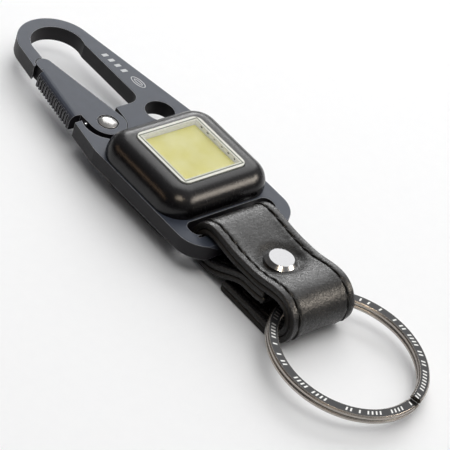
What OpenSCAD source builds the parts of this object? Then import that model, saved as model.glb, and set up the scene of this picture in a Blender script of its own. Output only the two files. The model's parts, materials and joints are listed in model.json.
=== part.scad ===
// Keychain light: a carabiner plate with a push-to-light block, a leather strap and a split ring.
// Millimetres. +X runs towards the tip of the hook, +Y towards the gate and +Z up through the light.
// The origin is the centre of the flat back face, so everything rests on z = 0.

/* [Plate] */
// Thickness of the metal plate
plate_t = 3.3; // [3.2:0.1:3.5]
// Full width of the plate beside the light
plate_w = 27; // [27:0.5:28]
// Distance from the light's centre to the hook's centre
hook_x = 42.5; // [42:0.25:43]
// Outer radius of the hook
hook_r = 8.3; // [8.2:0.1:8.6]
// Width of the metal round the hook
hook_wall = 2.4; // [2.2:0.1:2.6]
// Distance from the light's centre to the plate's strap end
tail_x = 20.7; // [20.6:0.1:21]
// Radius of the round hole beside the light
hole_r = 3.1; // [2.5:0.1:3.2]

/* [Gate] */
// Radius of the gate's round pivot end
gate_end_r = 3.85; // [3.7:0.05:3.9]
// Radius of the gate's tip
gate_tip_r = 1.7; // [1.6:0.1:1.9]
// Number of grip grooves on the thumb side
grip_count = 13; // [8:1:13]
// Radius of the rivet's shaft
rivet_r = 1.2; // [1:0.05:1.2]

/* [Light] */
// Length of the light block along the plate
block_l = 24.8; // [24.4:0.2:25]
// Width of the light block across the plate
block_w = 26.4; // [26:0.2:26.8]
// Height of the light block above the plate
block_h = 4.9; // [4.9:0.1:5.2]
// Radius of the rounding along the block's top edges
block_round = 4.2; // [3.5:0.1:4.3]
// Side of the square lens
lens_w = 16; // [15:0.25:16]
// How far the lens can be pressed in
press_travel = 0.4; // [0.3:0.05:0.4]

/* [Battery] */
// Diameter of one coin cell
cell_d = 20; // [20:0.1:20.1]
// Thickness of one coin cell
cell_t = 3.2; // [3.2:0.05:3.2]
// Side of the square battery cover
cover_w = 22; // [21.8:0.1:22]

/* [Strap] */
// Width of the leather strap
strap_w = 15.8; // [14:0.2:16]
// Thickness of the strap, both plies together
strap_t = 2.5; // [2.2:0.1:2.5]
// Sideways place of the strap in its slot
strap_y = 1; // [0:0.5:1]
// Distance from the light's centre to the snap
snap_x = 30.1; // [29.8:0.1:30.4]
// Radius of the snap's cap
snap_r = 3.3; // [3:0.1:3.4]

/* [Ring] */
// Outer diameter of the split ring
ring_d = 32; // [31:0.5:32]
// Width of the ring's flat wire
ring_band = 2.2; // [2:0.1:2.3]
// Height of the ring's two coils together
ring_h = 1.9; // [1.6:0.1:1.9]
// Droop of the ring from level, in degrees
ring_droop = 5; // [3:0.5:6]

/* [Hidden] */
$fn = 64;
eps = 0.01;

// Levels
plate_z = 4.1;
top_z = plate_z + plate_t;
block_top = top_z + block_h;
lens_top = block_top + 0.25;

// Plate outline
taper_angle = 9.4;
end_corner = 6;
mouth_x = 20.9;
mouth_y = -5.3;
mouth_round = 2.6;
hook_in_r = hook_r - hook_wall - 0.2;
hook_in_x = hook_x - 0.3;
nose_x = 37.5;
hole_at = [16.6, -6.8];
slot_near = -12.8;
slot_far = -16.7;
slot_half = 10.6;
slot_round = 1.7;
bar_r = 2.15;
bar_at = [(slot_far - tail_x) / 2, plate_z + plate_t / 2];

// Gate
pivot = [17.7, 5.65];
gate_tip = [37.75, 6.7];
lap_z = plate_z + 1.6;
lap_gap = 0.1;
tongue_r = 4.4;
pocket_r = gate_end_r + 0.15;
gap_r = 5.3;
gate_fillet = 1.5;
grip_pitch = 1;
grip_r = 0.33;
gate_open = 16;
rivet_head_r = 1.9;
spring_r = 2;
spring_wire = 0.2;
spring_leg_r = 4.75;
spring_leg_angle = 70;

// Light block and what it holds
window_half = cover_w / 2 + 0.1;
cover_corner = 4;
block_corner = 5.5;
cavity_r = 10.6;
cavity_half = 9.3;
boss_top = 9;
roof_z = 11.1;
lens_flange = 0.8;
lens_corner = 1.6;
lens_floor_z = 10.35;
recess_half = 7.2;
board_z = 7.95;
board_t = 0.6;
board_top = board_z + board_t;
carrier_z = 9.6;
plunger_r = 1.2;
wire_at = [6.2, 5.6];
wire_r = 0.35;
screw_at = 8.5;
screw_r = 0.78;
screw_head_r = 1.45;
cover_floor = 1;
cell_z = 1.2;
flange_half = 12.3;
flange_t = 0.8;

// Strap path, as X and Z of the strap's middle layer
loop_in_r = 2.35;
ring_loop_in_r = 3;
loop_r = loop_in_r + strap_t / 2;
ring_loop_r = ring_loop_in_r + strap_t / 2;
ring_loop_at = [-38.5, ring_loop_in_r + strap_t];
snap_at = [-snap_x, strap_y];
snap_leather_z = 7.95;
cap_seat_z = 8.7;
tail_end = -25.5;
tongue_end = 4.1;
arc_steps = 24;
ease_steps = 12;

// Ring
ring_r = ring_d / 2;
ring_roll = 2.5;
ring_y = 1.3;
strap_reach = strap_w / 2 + abs(ring_y - strap_y);
ring_inner_r = ring_r - ring_band;
ring_offset = (ring_r + sqrt(pow(ring_inner_r, 2) - pow(strap_reach, 2))) / 2;

// ---------- shared shapes ----------

// Rectangle of half sizes hx and hy with round corners of radius r
module round_rect(hx, hy, r) {
    square([2 * (hx - r), 2 * hy], center = true);
    square([2 * hx, 2 * (hy - r)], center = true);
    for (x = [-1, 1], y = [-1, 1])
        translate([x * (hx - r), y * (hy - r)]) circle(r);
}

module slab(z0, z1) {
    translate([0, 0, z0]) linear_extrude(z1 - z0) children();
}

module disc(r, z0, z1) {
    translate([0, 0, z0]) cylinder(r = r, h = z1 - z0);
}

module at_corners(d) {
    for (x = [-1, 1], y = [-1, 1]) translate([x * d, y * d, 0]) children();
}

// Section of a block's side: half width w from the middle, height h, upper edge rounded by f
module side_section(w, h, f) {
    intersection() {
        square([w, h]);
        union() {
            square([w, h - f]);
            square([w - f, h]);
            translate([w - f, h - f]) circle(f);
        }
    }
}

// Block with round corners r and a rounded upper edge f
module rounded_block(hx, hy, h, r, f) {
    for (k = [0, 1]) rotate(90 * k) {
        long = k == 0 ? hx - r : hy - r;
        wide = k == 0 ? hy : hx;
        for (side = [0, 1]) rotate(180 * side) translate([-long, 0, 0])
            rotate([90, 0, 90]) linear_extrude(2 * long) side_section(wide, h, f);
    }
    for (k = [0:3]) {
        corner = [(k == 0 || k == 3 ? 1 : -1) * (hx - r), (k < 2 ? 1 : -1) * (hy - r), 0];
        translate(corner) rotate(90 * k) rotate_extrude(angle = 90) side_section(r, h, f);
    }
}

// ---------- carabiner plate ----------

hook_tangent = [hook_x + hook_r * sin(taper_angle), hook_r * cos(taper_angle)];
function taper_y(x) = hook_tangent[1] + (hook_tangent[0] - x) * tan(taper_angle);
taper_x = hook_tangent[0] - (plate_w / 2 - hook_tangent[1]) / tan(taper_angle);

module plate_outline() {
    translate([hook_x, 0]) circle(hook_r);
    half = [
        hook_tangent, [taper_x, plate_w / 2],
        [end_corner - tail_x, plate_w / 2], [-tail_x, plate_w / 2 - end_corner]
    ];
    polygon(concat(half, [for (i = [3:-1:0]) [half[i][0], -half[i][1]]]));
    for (y = [-1, 1])
        translate([end_corner - tail_x, y * (plate_w / 2 - end_corner)]) circle(end_corner);
}

// The hook's opening, the gate's place beside it and the cleared corner that lets the gate swing in
module mouth_outline() {
    tip_gap_r = gate_tip_r + 0.2;
    translate([hook_in_x, 0]) circle(hook_in_r);
    translate([mouth_x + mouth_round, mouth_y + mouth_round]) circle(mouth_round);
    translate(gate_tip) circle(tip_gap_r);
    kink_x = hook_in_x - sqrt(pow(hook_in_r, 2) - pow(mouth_y, 2));
    polygon([
        [mouth_x, mouth_y + mouth_round], [mouth_x + mouth_round, mouth_y], [kink_x + 1, mouth_y],
        [hook_in_x, 0], [hook_in_x, hook_in_r], [gate_tip[0] + tip_gap_r, gate_tip[1] - 0.75],
        [gate_tip[0] + tip_gap_r, gate_tip[1]], [gate_tip[0] + 0.35, gate_tip[1] + tip_gap_r - 0.035],
        [nose_x, gate_tip[1] + 2.9], [nose_x, 15], [mouth_x - 0.9, 15], [mouth_x - 0.9, 9.2], [mouth_x, 7.6]
    ]);
    open_edge = gate_edge - gate_open;
    swing_from = pivot + (pocket_r + 0.08) * [sin(open_edge), -cos(open_edge)];
    swing_run = mouth_x + eps - swing_from[0];
    polygon([
        swing_from, swing_from + swing_run * [1, tan(open_edge)],
        [mouth_x + eps, 4], [pivot[0], 3]
    ]);
}

module pocket_outline() {
    translate(pivot) circle(pocket_r);
    intersection() {
        translate(pivot) circle(gap_r);
        translate([pivot[0] - 8, pivot[1] + 1.2]) square([16, 8]);
    }
}

module slot_outline() {
    translate([(slot_near + slot_far) / 2, 0])
        round_rect((slot_near - slot_far) / 2, slot_half, slot_round);
}

module carabiner_frame() {
    color("slategray") difference() {
        slab(plate_z, top_z) plate_outline();
        slab(lap_z, top_z + 1) {
            mouth_outline();
            pocket_outline();
        }
        slab(plate_z - 1, lap_z + eps) difference() {
            mouth_outline();
            translate(pivot) circle(tongue_r);
        }
        slab(plate_z - 1, top_z + 1) {
            slot_outline();
            translate(hole_at) circle(hole_r);
            round_rect(window_half, window_half, cover_corner + 0.1);
        }
        end_bar_rounding();
        gate_bearing();
    }
}

// Takes the edges off the end bar where the leather goes round it
module end_bar_rounding() {
    difference() {
        translate([-tail_x - 1, -slot_half + 0.4, plate_z - 1])
            cube([tail_x + slot_far + 1, 2 * slot_half - 0.8, plate_t + 2]);
        translate([bar_at[0], 0, bar_at[1]]) rotate([90, 0, 0])
            cylinder(r = bar_r, h = 4 * slot_half, center = true);
    }
}

// Rivet hole, its countersink, the spring's recess and the groove for the spring's leg
module gate_bearing() {
    translate([pivot[0], pivot[1], 0]) {
        disc(rivet_r, plate_z - 1, top_z);
        translate([0, 0, plate_z - eps]) cylinder(r1 = 1.9, r2 = rivet_r, h = 0.6);
        difference() {
            disc(spring_r + 0.6, lap_z - 0.85, lap_z + 0.5);
            disc(spring_r - 0.45, lap_z - 1, lap_z + 1);
        }
        rotate(spring_leg_angle) translate([spring_r, -0.3, lap_z - 0.45])
            cube([spring_leg_r - spring_r + 0.3, 0.6, 1]);
    }
}

// ---------- gate ----------

// Angle of the line that touches the pivot end and the tip on the opening's side
gate_edge = atan2(gate_tip[1] - pivot[1], gate_tip[0] - pivot[0])
    + asin((gate_end_r - gate_tip_r) / norm(gate_tip - pivot));
thumb_from = 35.8;
thumb_to = 21.9;

module gate_outline() {
    inward = [sin(gate_edge), -cos(gate_edge)];
    translate(pivot) circle(gate_end_r);
    translate(gate_tip) circle(gate_tip_r);
    polygon([
        pivot + gate_end_r * inward, gate_tip + gate_tip_r * inward,
        [gate_tip[0], gate_tip[1] + gate_tip_r], [thumb_from, gate_tip[1] + gate_tip_r],
        [thumb_from, taper_y(thumb_from)], [thumb_to, taper_y(thumb_to)],
        [thumb_to - 0.3, pivot[1] + gate_end_r], [pivot[0], pivot[1] + gate_end_r]
    ]);
}

// Cutter that rounds an upper edge: it runs along X, with the part on the side where y > 0
module edge_rounding(length, f, n = 5) {
    rotate([90, 0, 90]) linear_extrude(length) polygon(concat(
        [[-1, 1], [-1, -f]],
        [for (i = [0:n]) [f - f * cos(90 * i / n), -f + f * sin(90 * i / n)]],
        [[f, 1]]
    ));
}

module gate_lever() {
    wall_turn = 180 - taper_angle;
    wall_start = [thumb_from, taper_y(thumb_from)];
    color("slategray") difference() {
        slab(plate_z, top_z) difference() {
            gate_outline();
            translate(wall_start) rotate(wall_turn) for (i = [0:grip_count - 1])
                translate([0.8 + i * grip_pitch, 0]) circle(grip_r, $fn = 24);
        }
        translate([pivot[0], pivot[1], 0]) {
            disc(tongue_r + 0.2, plate_z - 1, lap_z + lap_gap);
            disc(rivet_r + 0.05, plate_z, top_z + 1);
            disc(rivet_head_r + 0.3, top_z - 0.5, top_z + 1);
        }
        translate([wall_start[0], wall_start[1], top_z]) rotate(wall_turn) translate([-1, 0, 0])
            edge_rounding(thumb_from - thumb_to + 4, gate_fillet);
    }
}

module gate_pivot_rivet() {
    dome_h = 0.55;
    dome_r = (pow(rivet_head_r, 2) + pow(dome_h, 2)) / (2 * dome_h);
    color("silver") translate([pivot[0], pivot[1], 0]) {
        disc(rivet_r, plate_z, top_z - 0.3);
        translate([0, 0, plate_z]) cylinder(r1 = 1.9, r2 = rivet_r, h = 0.6);
        disc(rivet_head_r, top_z - 0.45, top_z);
        translate([0, 0, top_z - eps]) intersection() {
            cylinder(r = rivet_head_r, h = 2);
            translate([0, 0, dome_h - dome_r]) sphere(r = dome_r);
        }
    }
}

module gate_spring() {
    color("gainsboro") translate([pivot[0], pivot[1], 0]) {
        for (z = [0, 0.36])
            translate([0, 0, lap_z - 0.6 + z]) rotate_extrude() translate([spring_r, 0]) circle(spring_wire, $fn = 24);
        rotate(spring_leg_angle) {
            translate([spring_r, 0, lap_z - 0.24]) rotate([0, 90, 0])
                cylinder(r = spring_wire, h = spring_leg_r - spring_r, $fn = 24);
            translate([spring_leg_r - spring_wire, 0, lap_z - 0.3])
                cylinder(r = spring_wire, h = 1.7, $fn = 24);
        }
        rotate(-15) translate([spring_r, 0, lap_z - 0.6]) rotate([0, 90, 0])
            cylinder(r = spring_wire, h = 0.55, $fn = 24);
    }
}

// ---------- light block ----------

module light_housing() {
    color("black") difference() {
        translate([0, 0, top_z]) rounded_block(block_l / 2, block_w / 2, block_h, block_corner, block_round);
        disc(cavity_r, top_z - 1, boss_top);
        slab(boss_top - eps, roof_z) round_rect(cavity_half, cavity_half, lens_corner);
        slab(roof_z - eps, block_top + 1)
            round_rect(lens_w / 2 + 0.15, lens_w / 2 + 0.15, lens_corner + 0.15);
        at_corners(screw_at) disc(screw_r + 0.02, top_z - 1, boss_top - 0.1);
        slab(top_z - eps, top_z + 0.4) gasket_outline();
    }
}

module gasket_outline() {
    difference() {
        round_rect(block_l / 2 - 0.4, block_w / 2 - 0.4, block_corner - 0.4);
        round_rect(block_l / 2 - 1, block_w / 2 - 1, block_corner - 1);
    }
}

module housing_gasket() {
    color("dimgray") slab(top_z, top_z + 0.4) gasket_outline();
}

module lens_cap() {
    flange_half_w = lens_w / 2 + lens_flange;
    color([0.9, 0.92, 0.88, 0.6]) difference() {
        union() {
            slab(lens_floor_z, lens_floor_z + 0.6) round_rect(flange_half_w, flange_half_w, lens_corner);
            slab(lens_floor_z, lens_top) round_rect(lens_w / 2, lens_w / 2, lens_corner);
        }
        slab(lens_floor_z - 1, lens_top - 0.9) round_rect(recess_half, recess_half, 0.8);
    }
}

module cob_emitter() {
    color([0.88, 0.86, 0.55]) slab(lens_floor_z + 0.8, lens_floor_z + 1.25)
        round_rect(recess_half - 0.6, recess_half - 0.6, 0.4);
}

module led_board() {
    color("white") slab(lens_floor_z, lens_floor_z + 0.8)
        round_rect(recess_half - 0.1, recess_half - 0.1, 0.7);
}

module button_carrier() {
    carrier_half = lens_w / 2 + lens_flange;
    color("dimgray") difference() {
        union() {
            slab(carrier_z, lens_floor_z) round_rect(carrier_half, carrier_half, lens_corner);
            disc(plunger_r, carrier_z - 0.25, carrier_z + eps);
        }
        for (y = [-1, 1]) translate([wire_at[0], y * wire_at[1], 0]) disc(0.7, carrier_z - 1, lens_floor_z + 1);
    }
}

// Ring k of a tube that follows a coil, as a list of points
function coil_ring(k, per_turn, r, pitch, wire, sides) = let (a = 360 * k / per_turn)
    [for (s = [0:sides - 1]) let (b = 360 * s / sides, q = r + wire * cos(b))
        [q * cos(a), q * sin(a), pitch * k / per_turn + wire * sin(b)]];

// Tube of radius wire that climbs pitch in each turn
module coil(r, turns, pitch, wire, per_turn = 20, sides = 8) {
    rings = turns * per_turn;
    points = [for (k = [0:rings]) each coil_ring(k, per_turn, r, pitch, wire, sides)];
    walls = [for (k = [0:rings - 1], s = [0:sides - 1]) let (t = (s + 1) % sides)
        [k * sides + s, (k + 1) * sides + s, (k + 1) * sides + t, k * sides + t]];
    ends = [[for (s = [0:sides - 1]) s], [for (s = [sides - 1:-1:0]) rings * sides + s]];
    polyhedron(points, concat(walls, ends));
}

module button_spring() {
    wire = 0.14;
    height = carrier_z - board_top;
    turns = 3;
    color("gainsboro") translate([0, 0, board_top + wire])
        coil(2.8, turns, (height - 2 * wire) / turns, wire);
}

module led_wires() {
    color("crimson") for (y = [-1, 1]) translate([wire_at[0], y * wire_at[1], 0])
        disc(wire_r, board_top, lens_floor_z);
}

module tact_switch() {
    color("silver") translate([0, 0, board_top]) {
        cylinder(r1 = 1.8, r2 = 1.3, h = 0.2);
        translate([0, 0, 0.2]) cylinder(r1 = 1.3, r2 = 0.6, h = 0.15);
    }
}

module control_board() {
    color("darkgreen") difference() {
        disc(cavity_r - 0.3, board_z, board_top);
        for (a = [0, 90, 180, 270]) rotate(a) translate([cavity_r, 0, 0]) disc(1.2, board_z - 1, board_top + 1);
    }
}

module board_components() {
    color("black") {
        translate([-6.5, -1.5, board_top]) cube([2.6, 3, 0.5]);
        for (y = [-6, -4.6, 4, 5.4]) translate([-2, y, board_top]) cube([1.6, 0.8, 0.4]);
        for (y = [-3, 2.2]) translate([5, y, board_top]) cube([0.8, 1.6, 0.4]);
    }
}

// ---------- battery ----------

module contact_leaf(r, z0, z1) {
    slab(z0, z1) {
        circle(3);
        for (a = [0, 60, 120]) rotate(a) round_rect(r, 1, 0.9);
    }
}

module positive_contact() {
    color("gold") contact_leaf(7, cell_z + 2 * cell_t, board_z);
}

module negative_contact() {
    color("gold") contact_leaf(8, cover_floor, cell_z);
}

// Coin cell with its narrower negative cap facing down
module coin_cell(z) {
    color("lightgray") rotate_extrude() polygon([
        [0, z], [cell_d / 2 - 1.1, z], [cell_d / 2 - 0.9, z + 0.25], [cell_d / 2, z + 0.25],
        [cell_d / 2, z + cell_t - 0.2], [cell_d / 2 - 0.2, z + cell_t], [0, z + cell_t]
    ]);
}

module upper_cell() {
    coin_cell(cell_z + cell_t);
}

module lower_cell() {
    coin_cell(cell_z);
}

module seal_outline() {
    difference() {
        round_rect(window_half + 0.8, window_half + 0.8, cover_corner + 0.8);
        round_rect(window_half + 0.2, window_half + 0.2, cover_corner + 0.2);
    }
}

module battery_cover() {
    color("dimgray") difference() {
        union() {
            translate([0, 0, plate_z]) mirror([0, 0, 1])
                rounded_block(cover_w / 2, cover_w / 2, plate_z - 0.1, cover_corner, 1.5);
            slab(0, 0.5) round_rect(cover_w / 2 - 1.5, cover_w / 2 - 1.5, cover_corner - 1.5);
            slab(plate_z - flange_t, plate_z) round_rect(flange_half, flange_half, cover_corner + 1);
            slab(plate_z - eps, top_z - 0.4) round_rect(cover_w / 2, cover_w / 2, cover_corner);
        }
        disc(cell_d / 2 + 0.15, cover_floor, top_z);
        slab(plate_z - 0.3, plate_z) seal_outline();
        at_corners(screw_at) {
            disc(screw_r + 0.07, -1, top_z);
            disc(screw_head_r + 0.1, -1, 0.9);
        }
        for (x = [-5:2:5]) translate([x, 0, 0]) slab(-1, 0.3) round_rect(0.4, 5, 0.39);
    }
}

module cover_seal() {
    color("black") slab(plate_z - 0.3, plate_z) seal_outline();
}

module cover_screws() {
    color("silver") at_corners(screw_at) difference() {
        union() {
            disc(screw_head_r, 0.1, 0.9);
            disc(screw_r, 0.5, boss_top - 0.3);
        }
        for (a = [0, 90]) rotate(a) translate([-0.9, -0.2, 0]) cube([1.8, 0.4, 0.5]);
    }
}

// ---------- strap ----------

// Points on an arc round c, from angle a0 to a1
function arc_points(c, r, a0, a1, n) =
    [for (i = [0:n]) let (a = a0 + (a1 - a0) * i / n) [c[0] + r * cos(a), c[1] + r * sin(a)]];

// Points between p and q that leave and arrive level, without the ends
function ease_points(p, q, n) =
    [for (i = [1:n - 1]) let (t = i / n)
        [p[0] + (q[0] - p[0]) * t, p[1] + (q[1] - p[1]) * (1 - cos(180 * t)) / 2]];

// Unit vector to the right of a path at point i
function right_of(path, i) = let (
        d = path[min(i + 1, len(path) - 1)] - path[max(i - 1, 0)]
    ) [d[1], -d[0]] / norm(d);

function moved_right(path, d) = [for (i = [0:len(path) - 1]) path[i] + d * right_of(path, i)];
function reversed(path) = [for (i = [len(path) - 1:-1:0]) path[i]];

bar_crest = [bar_at[0], bar_at[1] + loop_r];
bar_low = [bar_at[0], bar_at[1] - loop_r];
snap_dip = [-snap_x, snap_leather_z];
ring_crest = [ring_loop_at[0], ring_loop_at[1] + ring_loop_r];
ring_low = [ring_loop_at[0], ring_loop_at[1] - ring_loop_r];
tongue_dip = [-snap_x, snap_leather_z - strap_t - 0.04];

// The upper run climbs from the snap to the ring's loop, and the tongue lies against it from below
climb = ease_points(snap_dip, ring_crest, ease_steps);
climb_path = concat([snap_dip], climb);
tongue_climb = [
    for (i = [0:len(climb) - 1]) if (climb[i][0] > -snap_x - tongue_end)
        climb_path[i + 1] - (strap_t + 0.04) * right_of(climb_path, i + 1)
];
strap_path = concat(
    reversed(tongue_climb), [tongue_dip], ease_points(tongue_dip, bar_low, ease_steps),
    arc_points(bar_at, loop_r, -90, 90, arc_steps), ease_points(bar_crest, snap_dip, ease_steps),
    [snap_dip], climb, arc_points(ring_loop_at, ring_loop_r, 90, 270, arc_steps),
    [[(ring_low[0] + tail_end) / 2, ring_low[1]], [tail_end, ring_low[1]]]
);

// One ply of the strap, between two distances to the right of its middle layer
module strap_ply(d0, d1) {
    difference() {
        translate([0, strap_y + strap_w / 2, 0]) rotate([90, 0, 0]) linear_extrude(strap_w)
            polygon(concat(moved_right(strap_path, d0), reversed(moved_right(strap_path, d1))));
        translate([snap_at[0], snap_at[1], 0]) {
            disc(1.7, -1, cap_seat_z + 1);
            disc(snap_r + 0.3, cap_seat_z, cap_seat_z + 3);
            disc(3.1, strap_t, tongue_dip[1] - strap_t / 2);
            disc(3, -1, 0.6);
        }
    }
}

module strap_outer() {
    color([0.12, 0.12, 0.12]) strap_ply(0, strap_t / 2);
}

module strap_lining() {
    color([0.2, 0.2, 0.2]) strap_ply(-strap_t / 2, 0);
}

// ---------- snap fastener ----------

module at_snap() {
    translate([snap_at[0], snap_at[1], 0]) children();
}

module snap_cap() {
    barrel_z = tongue_dip[1] - strap_t / 2 + 0.1;
    color("silver") at_snap() {
        disc(1.65, barrel_z, cap_seat_z + eps);
        disc(snap_r, cap_seat_z, cap_seat_z + 0.5);
        translate([0, 0, cap_seat_z + 0.5]) cylinder(r1 = snap_r, r2 = snap_r - 0.8, h = 0.7);
    }
}

module snap_socket() {
    socket_top = tongue_dip[1] - strap_t / 2;
    color("silver") at_snap() difference() {
        union() {
            disc(3, socket_top - 0.4, socket_top);
            disc(2.3, socket_top - 1.2, socket_top);
        }
        disc(1.6, socket_top - 2, socket_top - 0.1);
    }
}

module snap_stud() {
    color("silver") at_snap() difference() {
        union() {
            disc(2.8, strap_t, strap_t + 0.4);
            disc(1.4, strap_t, strap_t + 1.4);
        }
        disc(1.25, strap_t - 1, strap_t + 1.1);
    }
}

module snap_post() {
    color("silver") at_snap() {
        disc(2.8, 0.05, 0.6);
        disc(1.2, 0.5, strap_t + 1);
    }
}

// ---------- key ring ----------

// Half of the flat wire's section, with softened edges
module wire_section(h) {
    c = 0.25;
    x0 = ring_inner_r;
    x1 = ring_r;
    polygon([
        [x0 + c, 0], [x1 - c, 0], [x1, c], [x1, h - c],
        [x1 - c, h], [x0 + c, h], [x0, h - c], [x0, c]
    ]);
}

// Two flat coils of one wire that cross over in a short step
module key_ring() {
    coil_h = (ring_h - 0.06) / 2;
    color("dimgray")
        translate([ring_loop_at[0], 0, ring_loop_at[1]]) rotate([0, -ring_droop, 0])
            translate([-ring_offset, ring_y, 0]) rotate([ring_roll, 0, 0]) rotate(200) {
                translate([0, 0, ring_h / 2 - coil_h]) rotate_extrude(angle = 352, $fn = 96) wire_section(coil_h);
                rotate(8) translate([0, 0, -ring_h / 2])
                    rotate_extrude(angle = 352, $fn = 96) wire_section(coil_h);
                rotate(8) translate([0, 0, -ring_h / 2 + 0.3])
                    rotate_extrude(angle = 16, $fn = 96) wire_section(ring_h - 0.6);
            }
}

// ---------- assembly ----------

carabiner_frame();
gate_lever();
gate_pivot_rivet();
gate_spring();
light_housing();
housing_gasket();
lens_cap();
cob_emitter();
led_board();
button_carrier();
button_spring();
led_wires();
tact_switch();
control_board();
board_components();
positive_contact();
upper_cell();
lower_cell();
negative_contact();
battery_cover();
cover_seal();
cover_screws();
strap_outer();
strap_lining();
snap_cap();
snap_socket();
snap_stud();
snap_post();
key_ring();
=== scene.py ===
"""Looks for the keychain light: camera, soft studio, materials, the leather strap and its stitching."""
import json
import math
import random

import bpy
from mathutils import Matrix, Vector, noise


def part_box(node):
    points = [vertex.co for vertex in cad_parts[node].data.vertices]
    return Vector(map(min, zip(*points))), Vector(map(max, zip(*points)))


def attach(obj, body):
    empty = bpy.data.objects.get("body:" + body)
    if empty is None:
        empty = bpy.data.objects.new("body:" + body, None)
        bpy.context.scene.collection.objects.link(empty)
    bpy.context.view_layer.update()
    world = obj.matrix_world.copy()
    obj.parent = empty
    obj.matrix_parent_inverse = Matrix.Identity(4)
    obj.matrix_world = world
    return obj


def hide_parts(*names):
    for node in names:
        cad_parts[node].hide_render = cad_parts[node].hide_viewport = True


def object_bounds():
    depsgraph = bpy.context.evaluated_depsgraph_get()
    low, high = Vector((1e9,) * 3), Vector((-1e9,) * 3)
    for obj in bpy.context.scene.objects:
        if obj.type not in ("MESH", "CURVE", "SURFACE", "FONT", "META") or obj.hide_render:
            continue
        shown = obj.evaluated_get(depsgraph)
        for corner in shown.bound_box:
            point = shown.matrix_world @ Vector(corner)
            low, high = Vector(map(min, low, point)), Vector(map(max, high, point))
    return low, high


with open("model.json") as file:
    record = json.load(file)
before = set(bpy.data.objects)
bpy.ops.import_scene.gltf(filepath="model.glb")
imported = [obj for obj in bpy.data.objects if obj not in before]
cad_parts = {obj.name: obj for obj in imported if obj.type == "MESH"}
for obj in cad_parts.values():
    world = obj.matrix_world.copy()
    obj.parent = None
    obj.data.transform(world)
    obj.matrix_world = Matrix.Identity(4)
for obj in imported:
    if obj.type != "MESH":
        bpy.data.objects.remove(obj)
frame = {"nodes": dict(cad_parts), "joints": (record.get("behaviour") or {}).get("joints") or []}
cad_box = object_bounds()
nodes = frame["nodes"]
joints = {j["name"]: j for j in frame["joints"]}
MM = 0.001
random.seed(7)


def smooth_step(low, high, x):
    """From 0 at low to 1 at high, level at both ends."""
    t = min(1.0, max(0.0, (x - low) / (high - low)))
    return t * t * (3 - 2 * t)


def bell(x, width):
    """A smooth bump of height 1 round x = 0."""
    return math.exp(-((x / width) ** 2))


# ---------- camera ----------

CAMERA_FOCAL_MM = 192.0
CAMERA_AT_MM = (-241.05, 282.06, 287.54)
CAMERA_AIM_MM = (-15.18, 1.63, 6.0)
CAMERA_ROLL_DEG = 18.48
SENSOR_MM = 36.0
CLIP_NEAR_M = 0.01
CLIP_FAR_M = 10.0


def make_camera():
    """A long lens that looks down on the part from beyond its ring end."""
    data = bpy.data.cameras.new("camera")
    data.lens = CAMERA_FOCAL_MM
    data.sensor_width = SENSOR_MM
    data.clip_start = CLIP_NEAR_M
    data.clip_end = CLIP_FAR_M
    camera = bpy.data.objects.new("camera", data)
    place = Vector(CAMERA_AT_MM) * MM
    look = (Vector(CAMERA_AIM_MM) * MM - place).normalized()
    turn = look.to_track_quat("-Z", "Y").to_matrix()
    roll = Matrix.Rotation(math.radians(CAMERA_ROLL_DEG), 3, "Z")
    camera.matrix_world = Matrix.Translation(place) @ (turn @ roll).to_4x4()
    bpy.context.scene.collection.objects.link(camera)
    bpy.context.scene.camera = camera


# ---------- material tools ----------

RANGE_SOCKETS = ("From Min", "From Max", "To Min", "To Max")
EDGE_SAMPLES = 6
EDGE_DOT_FROM = 0.985
EDGE_DOT_TO = 0.90


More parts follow.
